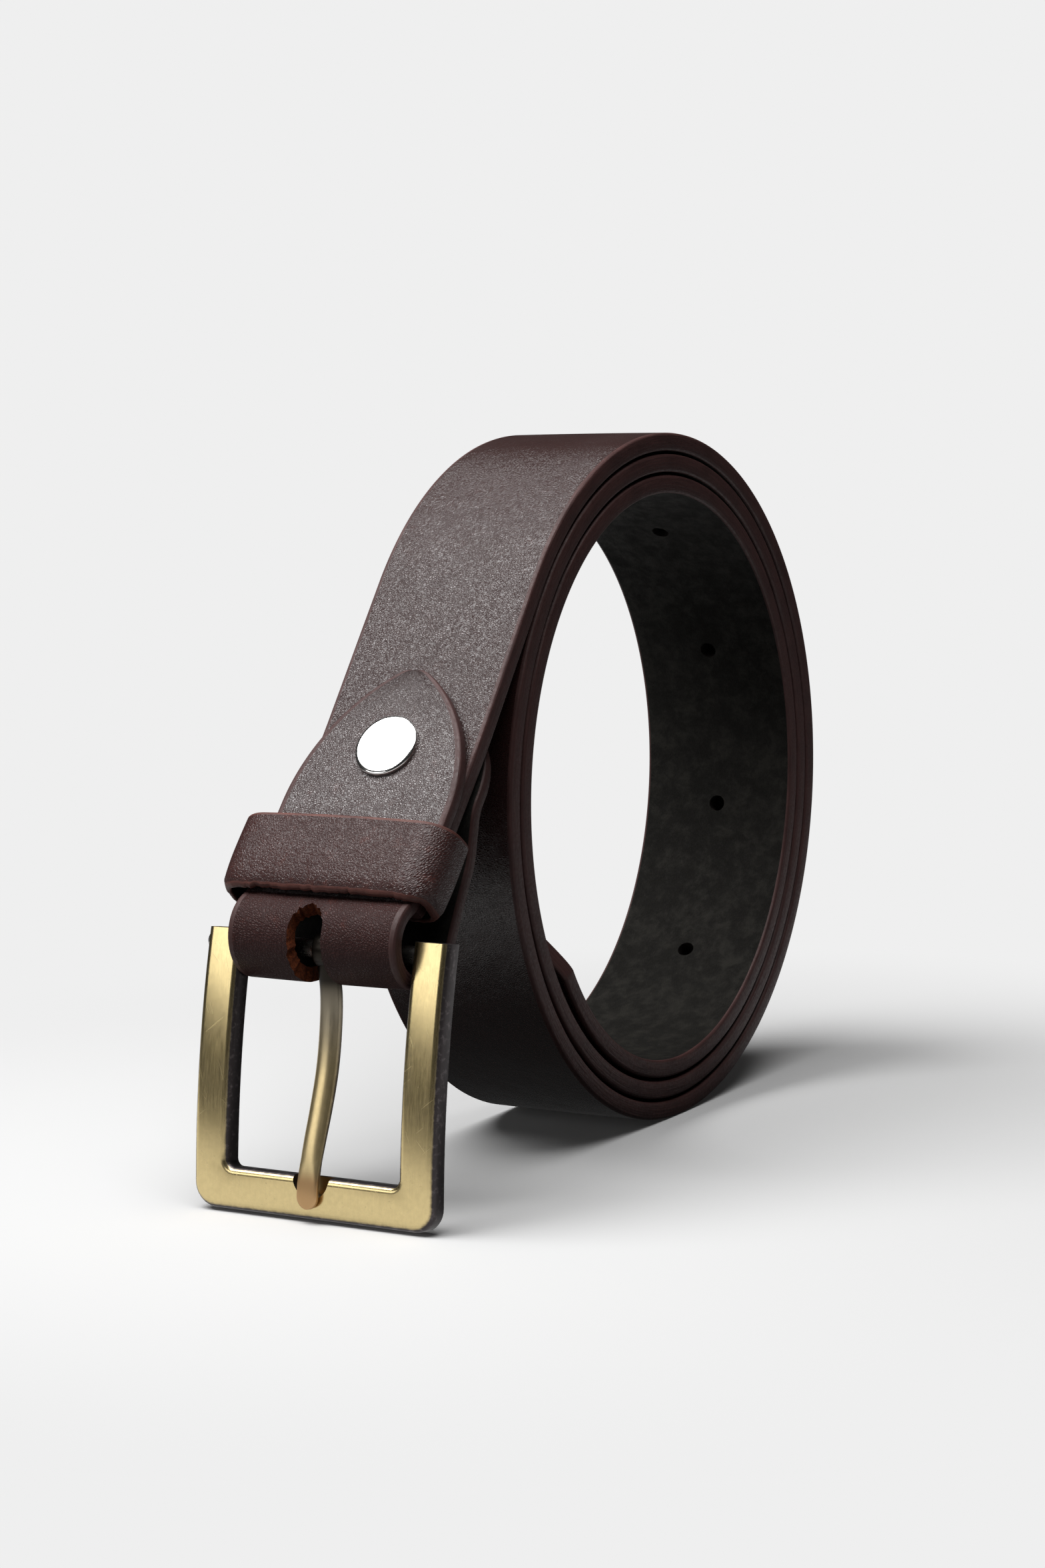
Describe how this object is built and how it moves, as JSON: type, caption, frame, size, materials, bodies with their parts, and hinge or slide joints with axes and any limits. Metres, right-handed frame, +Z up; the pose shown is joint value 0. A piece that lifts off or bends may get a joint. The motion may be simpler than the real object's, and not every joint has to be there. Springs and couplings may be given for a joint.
{
  "type": "leather belt",
  "caption": "Casual leather belt wound into an upright coil, with an open-topped rectangular prong buckle on a folded, screwed tab and a loose keeper loop.",
  "frame": {"origin": "on the floor, under the middle of the belt's bounding box", "axes": "+X across the belt's width, to the right when facing the buckle; +Y from the buckle to the far side of the coil; +Z up"},
  "size_m": [0.0524, 0.1742, 0.1393],
  "materials": {
    "strap_leather": "dark brown full-grain leather, satin, with reddish-brown painted edges",
    "chape_leather": "dark brown full-grain leather, satin, raw at the prong slot",
    "keeper_leather": "dark reddish-brown leather, rubbed, with a rough cut lower edge",
    "staple_wire": "plain wire",
    "post_metal": "polished, slightly domed head",
    "screw_metal": "polished, slotted head",
    "frame_metal": "antique brass, brushed face and darkened sides",
    "bar_metal": "plain bar",
    "prong_metal": "antique brass, brushed, worn at the tip"
  },
  "bodies": {
    "belt": {"strap": "strap_leather", "chape": "chape_leather", "screw_post": "post_metal", "screw": "screw_metal"},
    "keeper": {"keeper_loop": "keeper_leather", "keeper_staple": "staple_wire"},
    "buckle": {"buckle_frame": "frame_metal", "bar_pin": "bar_metal"},
    "prong": {"prong": "prong_metal"}
  },
  "joints": [
    {"name": "keeper_slide", "type": "slide", "parent": "belt", "child": "keeper", "axis": [0, 0.6018, 0.7986], "range_m": [0, 0.005]},
    {"name": "buckle_swing", "type": "hinge", "parent": "belt", "child": "buckle", "pos_m": [0, -0.07608, 0.04873], "axis": [-1, 0, 0], "range_deg": [-30, 50]},
    {"name": "prong_swing", "type": "hinge", "parent": "buckle", "child": "prong", "pos_m": [0, -0.07608, 0.04873], "axis": [-1, 0, 0], "range_deg": [0, 75]}
  ]
}
